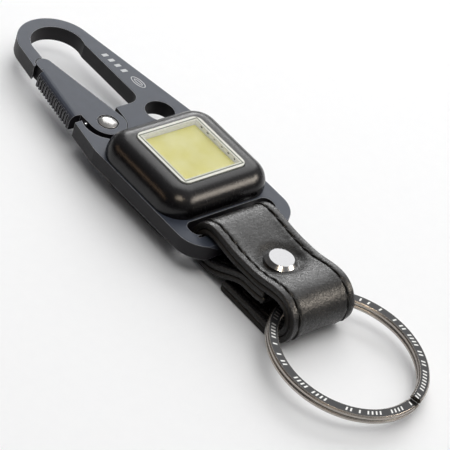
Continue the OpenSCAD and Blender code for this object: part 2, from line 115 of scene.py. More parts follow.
class Paint:
    """A node material with short calls for the nodes that the surfaces here share."""

    def __init__(self, name):
        self.mat = bpy.data.materials.new(name)
        self.mat.use_nodes = True
        self.nt = self.mat.node_tree
        self.bsdf = self.nt.nodes["Principled BSDF"]
        self.coords = self.node("ShaderNodeTexCoord")
        self.spot = self.coords.outputs["Object"]

    def node(self, kind, **settings):
        made = self.nt.nodes.new(kind)
        for key, value in settings.items():
            setattr(made, key, value)
        return made

    def put(self, target, value):
        """Links a node's output to the socket, or sets the socket's own value."""
        if hasattr(value, "is_output"):
            self.nt.links.new(value, target)
        else:
            target.default_value = value

    def set(self, **values):
        """Sets the shader's own sockets: base_color, roughness and so on."""
        for key, value in values.items():
            title = " ".join(w.capitalize() for w in key.split("_")).replace("Ior", "IOR")
            self.put(self.bsdf.inputs[title], value)

    def math(self, operation, a, b=None):
        n = self.node("ShaderNodeMath", operation=operation)
        for socket, value in zip(n.inputs, (a, b)):
            if value is not None:
                self.put(socket, value)
        return n.outputs[0]

    def stretched(self, scale):
        n = self.node("ShaderNodeMapping")
        self.put(n.inputs["Vector"], self.spot)
        n.inputs["Scale"].default_value = scale
        return n.outputs[0]

    def noise(self, per_mm, detail=4.0, rough=0.55, vector=None):
        n = self.node("ShaderNodeTexNoise")
        self.put(n.inputs["Vector"], vector or self.spot)
        n.inputs["Scale"].default_value = per_mm / MM
        n.inputs["Detail"].default_value = detail
        n.inputs["Roughness"].default_value = rough
        return n.outputs["Fac"]

    def cells(self, per_mm, feature="F1"):
        n = self.node("ShaderNodeTexVoronoi", feature=feature)
        self.put(n.inputs["Vector"], self.spot)
        n.inputs["Scale"].default_value = per_mm / MM
        return n.outputs["Distance"]

    def ramp(self, value, low, high, to_low=0.0, to_high=1.0):
        n = self.node("ShaderNodeMapRange", clamp=True)
        self.put(n.inputs["Value"], value)
        for title, number in zip(RANGE_SOCKETS, (low, high, to_low, to_high)):
            n.inputs[title].default_value = number
        return n.outputs["Result"]

    def mix(self, factor, a, b):
        n = self.node("ShaderNodeMix", data_type="RGBA")
        self.put(n.inputs["Factor"], factor)
        colour_a = [s for s in n.inputs if s.name == "A" and s.type == "RGBA"][0]
        colour_b = [s for s in n.inputs if s.name == "B" and s.type == "RGBA"][0]
        self.put(colour_a, a)
        self.put(colour_b, b)
        return [s for s in n.outputs if s.type == "RGBA"][0]

    def bump(self, height, strength, depth_mm, normal=None):
        n = self.node("ShaderNodeBump")
        self.put(n.inputs["Height"], height)
        n.inputs["Strength"].default_value = strength
        n.inputs["Distance"].default_value = depth_mm * MM
        if normal is not None:
            self.put(n.inputs["Normal"], normal)
        self.put(self.bsdf.inputs["Normal"], n.outputs["Normal"])

    def soft_edge(self, radius_mm):
        """(normal that rounds sharp edges over, 0 to 1 along them)"""
        n = self.node("ShaderNodeBevel", samples=EDGE_SAMPLES)
        n.inputs["Radius"].default_value = radius_mm * MM
        flat = self.node("ShaderNodeNewGeometry").outputs["Normal"]
        dot = self.node("ShaderNodeVectorMath", operation="DOT_PRODUCT")
        self.put(dot.inputs[0], n.outputs["Normal"])
        self.put(dot.inputs[1], flat)
        return n.outputs["Normal"], self.ramp(dot.outputs["Value"], EDGE_DOT_FROM, EDGE_DOT_TO)

    def height_of_normal(self):
        """How far the surface faces up, from -1 to 1, in the object's own frame."""
        split = self.node("ShaderNodeSeparateXYZ")
        self.put(split.inputs[0], self.coords.outputs["Normal"])
        return split.outputs["Z"]

    def axis(self, name):
        split = self.node("ShaderNodeSeparateXYZ")
        self.put(split.inputs[0], self.spot)
        return split.outputs[name]


def wear(paint, *names):
    """Gives CAD nodes a material."""
    for name in names:
        for place in nodes[name].material_slots:
            place.material = paint.mat


# ---------- materials ----------

# The lens: half its window, then how soon the milky rim sets in beyond that and how far out its line runs
LENS_WINDOW_MM = 6.85
LENS_RIM_MM = 0.06
LENS_LINE_MM = 0.47

# The ring: its tilt, and its ticks with their slant in radians for each metre of radius
RING_DROOP_DEG = 5.0
RING_ROLL_DEG = 2.5
RING_TICKS = 112
TICK_SLANT = 18.0
TICKS_LEFT_OUT = 0.32

SWIRL_SHADE = 0.86
ROUGH_SPREAD = 0.07


def plate_coat():
    """Dark coating: blue-grey on the flat faces, with painted shade making the walls nearly black, and
    pale along the edges from wear and a painted edge highlight.
    """
    p = Paint("plate_coat")
    # Painted shade: the walls take a nearly black copy of the coating and the flat faces a lighter
    # blue-grey copy, chosen by which way each face points.
    lit_face_mask = p.ramp(p.math("ABSOLUTE", p.height_of_normal()), 0.25, 0.9)
    mottle = p.noise(0.5, 5.0, 0.6)
    grain = p.noise(9.0, 3.0, 0.7)
    scuffs = p.noise(3.0, 6.0, 0.7, p.stretched((0.25, 1.6, 1.0)))
    face = p.mix(mottle, (0.034, 0.041, 0.059, 1), (0.050, 0.059, 0.081, 1))
    wall = p.mix(grain, (0.004, 0.0035, 0.005, 1), (0.012, 0.0105, 0.014, 1))
    body = p.mix(lit_face_mask, wall, face)
    soft, edge = p.soft_edge(0.17)
    # The pale edge colour is partly wear and partly a painted highlight where the edges catch the light.
    wear_and_edge_highlight = p.math("MULTIPLY", edge, p.ramp(scuffs, 0.30, 0.62, 0.40, 0.90))
    p.set(base_color=p.mix(wear_and_edge_highlight, body, (0.60, 0.61, 0.63, 1)))
    p.set(metallic=0.0, specular_ior_level=0.26)
    rough = p.math("ADD", p.ramp(scuffs, 0.3, 0.7, 0.36, 0.50), p.math("MULTIPLY", grain, 0.06))
    p.set(roughness=rough)
    p.bump(p.math("ADD", grain, p.math("MULTIPLY", scuffs, 0.4)), 0.35, 0.012, soft)
    return p


def gloss_housing():
    """Glossy black plastic with fine dust and wiping marks in its gloss."""
    p = Paint("gloss_housing")
    mottle = p.noise(0.8, 4.0, 0.6)
    dust = p.noise(7.0, 5.0, 0.75)
    wipe = p.noise(1.2, 6.0, 0.65, p.stretched((0.5, 2.0, 1.0)))
    p.set(base_color=p.mix(mottle, (0.002, 0.0018, 0.0024, 1), (0.006, 0.005, 0.006, 1)))
    p.set(roughness=p.ramp(p.math("ADD", dust, wipe), 0.7, 1.35, 0.15, 0.32))
    p.set(specular_ior_level=0.32)
    soft, _ = p.soft_edge(0.12)
    p.bump(p.math("ADD", dust, p.noise(2.8, 3.0, 0.7)), 0.6, 0.022, soft)
    return p


def lens_plastic():
    """Clear in the middle, so that the emitter shows, and milky along the raised rim."""
    p = Paint("lens_plastic")
    window = LENS_WINDOW_MM * MM
    across = p.math("MAXIMUM", p.math("ABSOLUTE", p.axis("X")), p.math("ABSOLUTE", p.axis("Y")))
    rim = p.ramp(across, window, window + LENS_RIM_MM * MM)
    off_line = p.math("ABSOLUTE", p.math("SUBTRACT", across, window + LENS_LINE_MM * MM))
    line = p.ramp(off_line, 0.18 * MM, 0.11 * MM)
    cloud = p.noise(0.5, 3.0, 0.5)
    scratches = p.noise(1.5, 5.0, 0.7, p.stretched((0.2, 3.0, 1.0)))
    milk = p.mix(cloud, (0.58, 0.58, 0.50, 1), (0.72, 0.72, 0.64, 1))
    inside = p.ramp(across, window + 0.52 * MM, window + 0.40 * MM, 0.0, 0.45)
    milk = p.mix(inside, milk, (0.36, 0.36, 0.24, 1))
    milk = p.mix(line, milk, (0.035, 0.04, 0.012, 1))
    p.set(base_color=p.mix(rim, (0.60, 0.60, 0.52, 1), milk))
    p.set(alpha=p.math("ADD", p.ramp(rim, 0.0, 1.0, 0.04, 0.97), p.math("MULTIPLY", cloud, 0.05)))
    rough = p.ramp(rim, 0.0, 1.0, 0.05, 0.22)
    p.set(roughness=p.math("ADD", rough, p.math("MULTIPLY", scratches, 0.06)))
    p.bump(cloud, 0.12, 0.02)
    return p


def phosphor():
    """Pale yellow light panel, cloudy, with a few darker specks."""
    p = Paint("phosphor")
    grain = p.noise(8.0, 4.0, 0.8)
    broad = p.noise(0.22, 2.0, 0.5)
    specks = p.ramp(p.cells(2.6), 0.10, 0.03)
    warm = p.mix(p.ramp(broad, 0.35, 0.65), (0.62, 0.57, 0.125, 1), (0.70, 0.67, 0.27, 1))
    fine = p.mix(p.math("MULTIPLY", grain, 0.35), warm, (0.72, 0.69, 0.34, 1))
    p.set(base_color=p.mix(p.math("MULTIPLY", specks, 0.6), fine, (0.55, 0.38, 0.06, 1)))
    p.set(roughness=p.ramp(grain, 0.3, 0.7, 0.55, 0.75), specular_ior_level=0.35)
    p.bump(grain, 0.4, 0.03)
    return p


def polished(name, colour, rough_low, rough_high, dents=0.0):
    """Bright metal with a faint swirl. The depth of its broad dents is in parts of a quarter mm."""
    p = Paint(name)
    swirl = p.noise(2.2, 6.0, 0.6)
    fine = p.noise(14.0, 3.0, 0.7)
    darker = tuple(c * SWIRL_SHADE for c in colour)
    p.set(base_color=p.mix(swirl, (*darker, 1), (*colour, 1)), metallic=1.0)
    p.set(roughness=p.ramp(p.math("ADD", swirl, fine), 0.75, 1.3, rough_low, rough_high))
    soft, _ = p.soft_edge(0.1)
    lumps = p.noise(0.9, 2.0, 0.5)
    height = p.math("ADD", p.math("MULTIPLY", lumps, dents), p.math("MULTIPLY", fine, 0.01))
    p.bump(height, 1.0, 0.25, soft)
    return p


def ring_metal():
    """Dark nickel, with a blackened band on its flat faces and a plain row of bright ticks in it."""
    p = Paint("ring_metal")
    low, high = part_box("key_ring")
    centre = (low + high) / 2
    droop = Matrix.Rotation(-math.radians(RING_DROOP_DEG), 3, "Y")
    roll = Matrix.Rotation(math.radians(RING_ROLL_DEG), 3, "X")
    along, across, up = (droop @ roll).col
    offsets = [v.co - centre for v in nodes["key_ring"].data.vertices]
    radii = [(c - up * c.dot(up)).length for c in offsets]
    mid = (max(radii) + min(radii)) / 2
    band_half = (max(radii) - min(radii)) / 2
    away = p.node("ShaderNodeVectorMath", operation="SUBTRACT")
    p.put(away.inputs[0], p.spot)
    away.inputs[1].default_value = centre

    def along_direction(direction, source=None):
        dot = p.node("ShaderNodeVectorMath", operation="DOT_PRODUCT")
        p.put(dot.inputs[0], source or away.outputs[0])
        dot.inputs[1].default_value = direction
        return dot.outputs["Value"]

    x, y, z = along_direction(along), along_direction(across), along_direction(up)
    radius = p.math("SQRT", p.math("ADD", p.math("MULTIPLY", x, x), p.math("MULTIPLY", y, y)))
    angle = p.math("ARCTAN2", y, x)
    tilt = p.math("ABSOLUTE", along_direction(up, p.coords.outputs["Normal"]))
    faces = p.ramp(tilt, 0.90, 0.96)
    off = p.math("ABSOLUTE", p.math("SUBTRACT", radius, mid))
    band = p.math("MULTIPLY", faces, p.ramp(off, band_half * 0.82, band_half * 0.72))
    slant = p.math("MULTIPLY", p.math("SUBTRACT", radius, mid), TICK_SLANT)
    steps = p.math("MULTIPLY", p.math("ADD", angle, slant), RING_TICKS / (2 * math.pi))
    chance = p.node("ShaderNodeTexWhiteNoise", noise_dimensions="1D")
    p.put(chance.inputs["W"], p.math("FLOOR", steps))
    kept = p.math("GREATER_THAN", chance.outputs["Value"], TICKS_LEFT_OUT)
    from_middle = p.math("ABSOLUTE", p.math("SUBTRACT", p.math("FRACT", steps), 0.5))
    tick = p.math("MULTIPLY", p.ramp(from_middle, 0.25, 0.15), kept)
    tick = p.math("MULTIPLY", tick, p.ramp(off, band_half * 0.42, band_half * 0.34))
    tick = p.math("MULTIPLY", tick, band)
    rims = p.math("SUBTRACT", 1.0, faces)
    seam = p.math("MULTIPLY", rims, p.ramp(p.math("ABSOLUTE", z), 0.10 * MM, 0.03 * MM))
    swirl = p.noise(1.6, 6.0, 0.65)
    drawn = p.noise(6.0, 4.0, 0.7, p.stretched((1.0, 1.0, 3.0)))
    metal = p.mix(swirl, (0.30, 0.27, 0.24, 1), (0.52, 0.485, 0.45, 1))
    metal = p.mix(p.math("MULTIPLY", seam, 0.9), metal, (0.02, 0.02, 0.02, 1))
    black = p.mix(drawn, (0.006, 0.006, 0.007, 1), (0.016, 0.016, 0.018, 1))
    colour = p.mix(band, metal, black)
    p.set(base_color=p.mix(tick, colour, (0.40, 0.40, 0.39, 1)))
    plain = p.math("SUBTRACT", band, tick)
    p.set(metallic=p.math("SUBTRACT", 1.0, p.math("MULTIPLY", plain, 0.75)))
    p.set(specular_ior_level=0.35)
    rough = p.ramp(drawn, 0.3, 0.7, 0.16, 0.30)
    p.set(roughness=p.math("ADD", rough, p.math("MULTIPLY", band, 0.10)))
    soft, _ = p.soft_edge(0.08)
    cut = p.math("SUBTRACT", p.math("MULTIPLY", drawn, 0.10), p.math("MULTIPLY", plain, 0.5))
    p.bump(cut, 0.5, 0.03, soft)
    return p


def plain_part(name, dark, light, rough, metallic=0.0, per_mm=6.0, bump_mm=0.01):
    """A small part's surface: two tones in a fine grain, with uneven gloss and softened edges."""
    p = Paint(name)
    grain = p.noise(per_mm, 4.0, 0.65)
    broad = p.noise(0.6, 3.0, 0.5)
    tone = p.math("MULTIPLY", p.math("ADD", grain, broad), 0.5)
    p.set(base_color=p.mix(tone, (*dark, 1), (*light, 1)), metallic=metallic)
    p.set(roughness=p.ramp(grain, 0.3, 0.7, rough - ROUGH_SPREAD, rough + ROUGH_SPREAD))
    soft, _ = p.soft_edge(0.05)
    p.bump(grain, 0.5, bump_mm, soft)
    return p


def circuit_board():
    """Green solder mask with paler tracks between its cells."""
    p = Paint("circuit_board")
    weave = p.cells(1.4, "DISTANCE_TO_EDGE")
    tracks = p.ramp(weave, 0.05, 0.09)
    grain = p.noise(5.0, 3.0, 0.6)
    mask = p.mix(grain, (0.010, 0.075, 0.032, 1), (0.018, 0.105, 0.045, 1))
    p.set(base_color=p.mix(tracks, (0.045, 0.19, 0.085, 1), mask))
    p.set(roughness=p.ramp(grain, 0.3, 0.7, 0.28, 0.42))
    p.bump(tracks, 0.4, 0.02)
    return p


def leather(name, face):
    """Grained black leather. The mesh's edge_mm attribute holds the distance from the strap's side."""
    p = Paint(name)
    reach = p.node("ShaderNodeAttribute", attribute_name="edge_mm").outputs["Fac"]
    pebble = p.cells(1.7, "SMOOTH_F1")
    pores = p.noise(2.4, 4.0, 0.8)
    folds = p.noise(0.9, 5.0, 0.6, p.stretched((1.7, 0.35, 1.0)))
    cloud = p.noise(0.25, 3.0, 0.5)
    dark = (0.0012, 0.0011, 0.0011, 1) if face else (0.002, 0.0018, 0.0018, 1)
    light = (0.011, 0.0102, 0.0100, 1) if face else (0.012, 0.011, 0.0106, 1)
    tone = p.math("ADD", cloud, p.math("MULTIPLY", pores, 4.0))
    hide = p.mix(p.ramp(tone, 2.50, 2.95), dark, light)
    side = p.ramp(reach, 0.14, 0.02)
    hide = p.mix(p.math("MULTIPLY", side, 0.9), hide, (0.002, 0.0018, 0.0018, 1))
    # Along the rounded edge the skin turns lighter and glossier: partly rubbed wear, partly a painted
    # highlight where the edge catches the light.
    rubbed_and_highlit = p.math("MULTIPLY", p.ramp(reach, 0.95, 0.50), p.ramp(folds, 0.25, 0.60, 0.35, 1.0))
    lip_wear_and_highlight = p.math("MULTIPLY", rubbed_and_highlit, p.ramp(reach, 0.02, 0.18))
    hide = p.mix(p.math("MULTIPLY", lip_wear_and_highlight, 0.35), hide, (0.060, 0.057, 0.062, 1))
    p.set(base_color=hide, specular_ior_level=0.44)
    gloss = p.math("ADD", p.ramp(pores, 0.42, 0.58, 0.40, 0.20), p.math("MULTIPLY", cloud, 0.06))
    gloss = p.math("ADD", gloss, p.math("MULTIPLY", side, 0.3))
    p.set(roughness=p.math("SUBTRACT", gloss, p.math("MULTIPLY", lip_wear_and_highlight, 0.08)))
    grain = p.math("ADD", p.math("MULTIPLY", pebble, 0.55), p.math("MULTIPLY", pores, 0.75))
    creases = p.node("ShaderNodeBump")
    p.put(creases.inputs["Height"], folds)
    creases.inputs["Strength"].default_value = 0.45
    creases.inputs["Distance"].default_value = 0.12 * MM
    p.bump(grain, 1.0, 0.065, creases.outputs["Normal"])
    return p


def thread():
    """Black waxed thread with fibres along it."""
    p = Paint("waxed_thread")
    fibre = p.noise(9.0, 3.0, 0.7, p.stretched((2.0, 0.6, 1.0)))
    p.set(base_color=p.mix(fibre, (0.001, 0.001, 0.001, 1), (0.004, 0.004, 0.004, 1)))
    p.set(roughness=p.ramp(fibre, 0.3, 0.7, 0.45, 0.65), specular_ior_level=0.25)
    p.bump(fibre, 0.8, 0.05)
    return p


def floor_paper():
    """Matt white paper for the studio floor."""
    p = Paint("studio_paper")
    tooth = p.noise(0.4, 4.0, 0.6)
    p.set(base_color=p.mix(tooth, (0.93, 0.93, 0.935, 1), (0.96, 0.96, 0.96, 1)))
    p.set(roughness=p.ramp(tooth, 0.3, 0.7, 0.85, 0.95), specular_ior_level=0.2)
    p.bump(tooth, 0.1, 0.02)
    return p


# ---------- meshes ----------

def add_mesh(name, points_mm, faces, paint, body, smooth=True):
    """Makes a piece from points in mm, and names its body."""
    mesh = bpy.data.meshes.new(name)
    mesh.from_pydata([Vector(p) * MM for p in points_mm], [], faces)
    mesh.validate()
    mesh.update()
    if smooth:
        mesh.polygons.foreach_set("use_smooth", [True] * len(mesh.polygons))
    mesh.materials.append(paint.mat)
    made = bpy.data.objects.new(name, mesh)
    bpy.context.scene.collection.objects.link(made)
    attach(made, body)
    return made


def tube_faces(rows, columns):
    """Quads between neighbouring closed rows of points, and a flat cap on each end."""
    faces = []
    for i in range(rows - 1):
        for j in range(columns):
            a = i * columns + j
            b = i * columns + (j + 1) % columns
            faces.append((a, b, b + columns, a + columns))
    faces.append(tuple(reversed(range(columns))))
    faces.append(tuple(range((rows - 1) * columns, rows * columns)))
    return faces


# ---------- leather strap, all in mm ----------

STRAP_WIDTH = (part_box("strap_outer")[1].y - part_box("strap_outer")[0].y) / MM
STRAP_Y = (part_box("strap_outer")[1].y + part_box("strap_outer")[0].y) / 2 / MM
PLY = 1.25
BAR = [joints["strap_swing"]["pos_m"][i] / MM for i in (0, 2)]
LOOP = [joints["ring_swing"]["pos_m"][i] / MM for i in (0, 2)]
BAR_R = 3.6
LOOP_R = 4.25
SNAP_X = (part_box("snap_cap")[0].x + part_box("snap_cap")[1].x) / 2 / MM
SNAP_Y = (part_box("snap_cap")[0].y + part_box("snap_cap")[1].y) / 2 / MM
SNAP_Z = 7.95
CAP_R = (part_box("snap_cap")[1].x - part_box("snap_cap")[0].x) / 2 / MM
TONGUE_GAP = 2.54
TONGUE_LENGTH = 4.1
TAIL_END_X = -24.8
STATION = 0.28
STITCH_INSET = 1.72
STITCH_PITCH = 2.75
FLOOR_GAP = 0.03
MIDDLE_GAP = 0.012
EDGE_ROUND = 0.30
EDGE_TUCK = 0.16

# The bulge on each side of the snap, and the dip pressed round its cap
BULGE = 0.75
BULGE_LENGTH = 4.6
BULGE_FROM = 3.3
BULGE_TO = 7.6
DIP = 0.50
DIP_INSIDE_CAP = 0.4
DIP_OUTSIDE_CAP = 2.0

# The skin at a row of stitches: the groove and its needle holes, the bead outside, the pillow inside
HOLE_LENGTH = 0.38
GROOVE = 0.04
HOLE_DEPTH = 0.26
GROOVE_WIDTH = 0.24
BEAD = 0.07
BEAD_AT = 0.95
BEAD_WIDTH = 0.42
PILLOW = 0.09
PILLOW_AT = 2.55
PILLOW_WIDTH = 0.65


def ease(p, q, t):
    """A point on the S-shaped curve from p to q, level at both ends."""
    return (p[0] + (q[0] - p[0]) * t, p[1] + (q[1] - p[1]) * (1 - math.cos(math.pi * t)) / 2)


def arc(c, r, a0, a1, t):
    """A point on the arc round c from angle a0 to a1, in degrees."""
    a = math.radians(a0 + (a1 - a0) * t)
    return (c[0] + r * math.cos(a), c[1] + r * math.sin(a))


def sampled(curve, length):
    """Points on the curve about STATION apart, its end left out."""
    n = round(length / STATION)
    return [curve(i / n) for i in range(n)]


def strap_line():
    """(x, z, kind) along the strap's middle layer, from the tongue's end to the tail's.

    The number after each curve is its rough length, which sets how many stations it gets.
    """
    bar_low, bar_top = (BAR[0], BAR[1] - BAR_R), (BAR[0], BAR[1] + BAR_R)
    dip = (SNAP_X, SNAP_Z)
    ring_top, ring_low = (LOOP[0], LOOP[1] + LOOP_R), (LOOP[0], LOOP[1] - LOOP_R)
    low_dip = (SNAP_X, SNAP_Z - TONGUE_GAP)
    span = TONGUE_LENGTH / (dip[0] - ring_top[0])
    tongue = []
    count = round(TONGUE_LENGTH / STATION)
    for i in range(count):
        t = span * (1 - i / count)
        x, z = ease(dip, ring_top, t)
        back, ahead = ease(dip, ring_top, t - 0.01), ease(dip, ring_top, t + 0.01)
        dx, dz = ahead[0] - back[0], ahead[1] - back[1]
        size = math.hypot(dx, dz)
        tongue.append((x - TONGUE_GAP * dz / size, z + TONGUE_GAP * dx / size))
    runs = [
        (tongue, "tongue"),
        (sampled(lambda t: ease(low_dip, bar_low, t), 12), "tongue"),
        (sampled(lambda t: arc(BAR, BAR_R, -90, 90, t), 11.3), "bar"),
        (sampled(lambda t: ease(bar_top, dip, t), 11.6), "top"),
        (sampled(lambda t: ease(dip, ring_top, t), 8.7), "top"),
        (sampled(lambda t: arc(LOOP, LOOP_R, 90, 270, t), 13.4), "loop"),
        (sampled(lambda t: ease(ring_low, (TAIL_END_X, ring_low[1]), t), 13), "tail"),
        ([(TAIL_END_X, ring_low[1])], "tail"),
    ]
    return [(x, z, kind) for points, kind in runs for x, z in points]


class Strap:
    """The strap's line with its outward side, and the leather's rise round the snap."""

    def __init__(self):
        self.line = strap_line()
        self.count = len(self.line)
        self.out = []
        self.run = [0.0]
        for i in range(self.count):
            a, b = self.line[max(i - 1, 0)], self.line[min(i + 1, self.count - 1)]
            dx, dz = b[0] - a[0], b[1] - a[1]
            size = math.hypot(dx, dz)
            self.out.append((dz / size, -dx / size))
        for a, b in zip(self.line, self.line[1:]):
            self.run.append(self.run[-1] + math.hypot(b[0] - a[0], b[1] - a[1]))

    def lift(self, x, y, kind):
        """How far the leather bulges beside the snap, less the dip pressed round its cap."""
        if kind not in ("top", "tongue"):
            return 0.0
        side = smooth_step(BULGE_FROM, BULGE_TO, abs(y - SNAP_Y))
        rise = BULGE * side * bell(x - SNAP_X, BULGE_LENGTH)
        if kind == "top":
            far = math.hypot(x - SNAP_X, y - SNAP_Y)
            rise -= DIP * (1 - smooth_step(CAP_R - DIP_INSIDE_CAP, CAP_R + DIP_OUTSIDE_CAP, far))
        return rise

    def point(self, i, y, depth):
        """A point at station i, y from the strap's middle and depth outwards from its middle layer."""
        x, z, kind = self.line[i]
        px = x + depth * self.out[i][0]
        pz = z + depth * self.out[i][1]
        return (px, STRAP_Y + y, pz + self.lift(px, STRAP_Y + y, kind))

    def at_run(self, s, y, depth):
        """A point at distance s along the line, between its stations."""
        s = min(max(s, 0.0), self.run[-1] - 1e-6)
        low, high = 0, self.count - 1
        while high - low > 1:
            i = (low + high) // 2
            if self.run[i] <= s:
                low = i
            else:
                high = i
        t = (s - self.run[low]) / max(self.run[low + 1] - self.run[low], 1e-9)
        a, b = Vector(self.point(low, y, depth)), Vector(self.point(low + 1, y, depth))
        return a.lerp(b, t)


def round_over(reach):
    """How far a rounded edge has fallen, at a distance from its side."""
    inside = max(0.0, EDGE_ROUND - reach)
    return EDGE_ROUND - math.sqrt(max(0.0, EDGE_ROUND ** 2 - inside ** 2))


def wander(s, seed):
    """How far the row of stitches strays sideways."""
    return 0.05 * math.sin(s * 1.9 + seed)


def surface_height(reach, s, y, seed):
    """Height of the leather's skin above its plain level, at a distance from the side."""
    from_hole = ((s + STITCH_PITCH / 2) % STITCH_PITCH) - STITCH_PITCH / 2
    hole = bell(from_hole, HOLE_LENGTH)
    groove = (GROOVE + HOLE_DEPTH * hole) * bell(reach - STITCH_INSET - wander(s, seed), GROOVE_WIDTH)
    bead = BEAD * bell(reach - BEAD_AT, BEAD_WIDTH)
    pillow = (PILLOW - 0.05 * hole) * bell(reach - PILLOW_AT, PILLOW_WIDTH)
    drift = 0.05 * noise.noise(Vector((s * 0.22, y * 0.30, seed)))
    return bead + pillow - groove - round_over(reach) + drift


# Distances from the strap's side, closest together at its edge and at the stitches
SIDE_STEPS = (0, 0.03, 0.08, 0.16, 0.27, 0.42, 0.6, 0.8, 1.0, 1.2, 1.36, 1.46, 1.56, 1.64, 1.72,
              1.80, 1.88, 1.98, 2.1, 2.3, 2.55, 2.85, 3.2, 3.7, 4.3, 5.0, 5.8, 6.8)


def on_floor(point):
    """The point, pressed up to the surface that the strap lies on."""
    x, y, z = point
    return Vector((x, y, max(z, FLOOR_GAP)))


def across_points():
    """(y, distance from the nearer side) of the points across the strap."""
    half = STRAP_WIDTH / 2
    left = [(-half + e, e) for e in SIDE_STEPS]
    right = [(half - e, e) for e in reversed(SIDE_STEPS)]
    return left + [(0.0, half)] + right


def make_ply(strap, name, sign, paint, stands_for):
    """One ply: its skin faces out (sign 1) or in (sign -1), and its flesh lies on the middle layer."""
    row = across_points()
    half = STRAP_WIDTH / 2
    points, reaches = [], []
    for i in range(strap.count):
        s = strap.run[i]
        from_end = min(s, strap.run[-1] - s)
        for y, reach in row:
            height = surface_height(reach, s, y, 3.0 * sign) - round_over(from_end)
            points.append(on_floor(strap.point(i, y, sign * (PLY + height))))
            reaches.append(min(reach, from_end))
        for y, reach in reversed(row):
            tuck = EDGE_TUCK * (1 - smooth_step(0.0, EDGE_ROUND, reach))
            points.append(strap.point(i, y, sign * (MIDDLE_GAP + tuck)))
            reaches.append(0.0 if reach < EDGE_ROUND else half)
    columns = 2 * len(row)
    faces = tube_faces(strap.count, columns)
    if sign > 0:
        faces = [tuple(reversed(f)) for f in faces]
    made = add_mesh(name, points, faces, paint, "strap")
    note = made.data.attributes.new("edge_mm", "FLOAT", "POINT")
    note.data.foreach_set("value", reaches)
    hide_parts(stands_for)
    return made


def stitch(strap, s, side, sign, seed):
    """One stitch: a bent capsule from its hole to the next, slightly across the line."""
    rings, sides, radius = 9, 8, 0.23
    gap, sunk, arch = 0.20, 0.17, 0.26
    y0 = side * (STRAP_WIDTH / 2 - STITCH_INSET)
    slant = 0.16 * side
    points = []
    for i in range(rings):
        t = i / (rings - 1)
        run = s + gap + (STITCH_PITCH - 2 * gap) * t
        rise = arch * math.sin(math.pi * t) ** 0.6
        y = y0 + slant * (2 * t - 1) + wander(s, seed)
        thick = radius * (0.45 + 0.55 * math.sin(math.pi * min(max(t, 0.04), 0.96)) ** 0.45)
        middle = strap.at_run(run, y, sign * (PLY - sunk + rise))
        outer = strap.at_run(run, y, sign * (PLY + 0.5))
        up = (outer - strap.at_run(run, y, sign * PLY)).normalized()
        for k in range(sides):
            a = 2 * math.pi * k / sides
            round_it = up * (thick * math.sin(a)) + Vector((0, thick * math.cos(a), 0))
            points.append(on_floor(middle + round_it))
    return points, tube_faces(rings, sides)


def make_stitching(strap, paint):
    """Both rows of stitches on the face, and both on the lining."""
    for title, sign in (("stitching_outside", 1), ("stitching_inside", -1)):
        points, faces = [], []
        for side in (-1, 1):
            s = STITCH_PITCH
            while s < strap.run[-1] - 1.6 * STITCH_PITCH:
                made_points, made_faces = stitch(strap, s, side, sign, 3.0 * sign)
                base = len(points)
                points += made_points
                faces += [tuple(v + base for v in f) for f in made_faces]
                s += STITCH_PITCH
        add_mesh(title, points, faces, paint, "strap")


# ---------- small fittings, all in mm ----------

DAM_INSET = 0.06
DAM_OUTSET = 0.2
DAM_BELOW_LENS = 0.06
DAM_CHAMFER = 0.12
DAM_OUTER_CORNER = 0.5
DAM_INNER_CORNER = 0.3
FLECK_COUNT = 6
FLECK_SIDES = 12
FLECK_STRAY = 0.35
FLECK_HALF_WIDE = (0.16, 0.42)
FLECK_HALF_TALL = (0.12, 0.20)
FLECK_PROFILE = ((1.0, 0.0), (0.85, 0.03), (0.45, 0.045))
FLECK_WALL = 0.18
FLECK_HEIGHT = 0.55
MARK_AT = (25.8, -8.35)
MARK_ANGLE_DEG = 6.5
MARK_THICK = 0.012
MARK_OVALS = ((2.0, 0.95, 0.22), (1.25, 0.42, 0.20))
STRIPE_COUNT = 4
STRIPE_START = 3.6
STRIPE_PITCH = 1.9
STRIPE_WIDE = 0.85
STRIPE_SLANT = 0.30
STRIPE_HALF_TALL = 0.62
ROUND = [2 * math.pi * i / 40 for i in range(40)]


def frame_ring(name, inner, outer, z0, z1, paint, body):
    """A square frame with softened upper edges, for the dam round the emitter."""
    middle = (z0 + z1) / 2
    rows = [(outer, z0), (outer, middle), (outer - DAM_CHAMFER, z1),
            (inner + DAM_CHAMFER, z1), (inner, middle), (inner, z0)]
    corner_steps = 6
    points = []
    for h, z in rows:
        r = DAM_OUTER_CORNER if h > (inner + outer) / 2 else DAM_INNER_CORNER
        for k in range(4):
            cx = (h - r) * (1 if k in (0, 3) else -1)
            cy = (h - r) * (1 if k in (0, 1) else -1)
            for i in range(corner_steps + 1):
                a = math.radians(90 * k + 90 * i / corner_steps)
                points.append((cx + r * math.cos(a), cy + r * math.sin(a), z))
    columns = 4 * (corner_steps + 1)
    faces = []
    for i in range(len(rows)):
        for j in range(columns):
            a = i * columns + j
            b = i * columns + (j + 1) % columns
            up = ((i + 1) % len(rows) - i) * columns
            faces.append((a, b, b + up, a + up))
    return add_mesh(name, points, faces, paint, body, smooth=False)


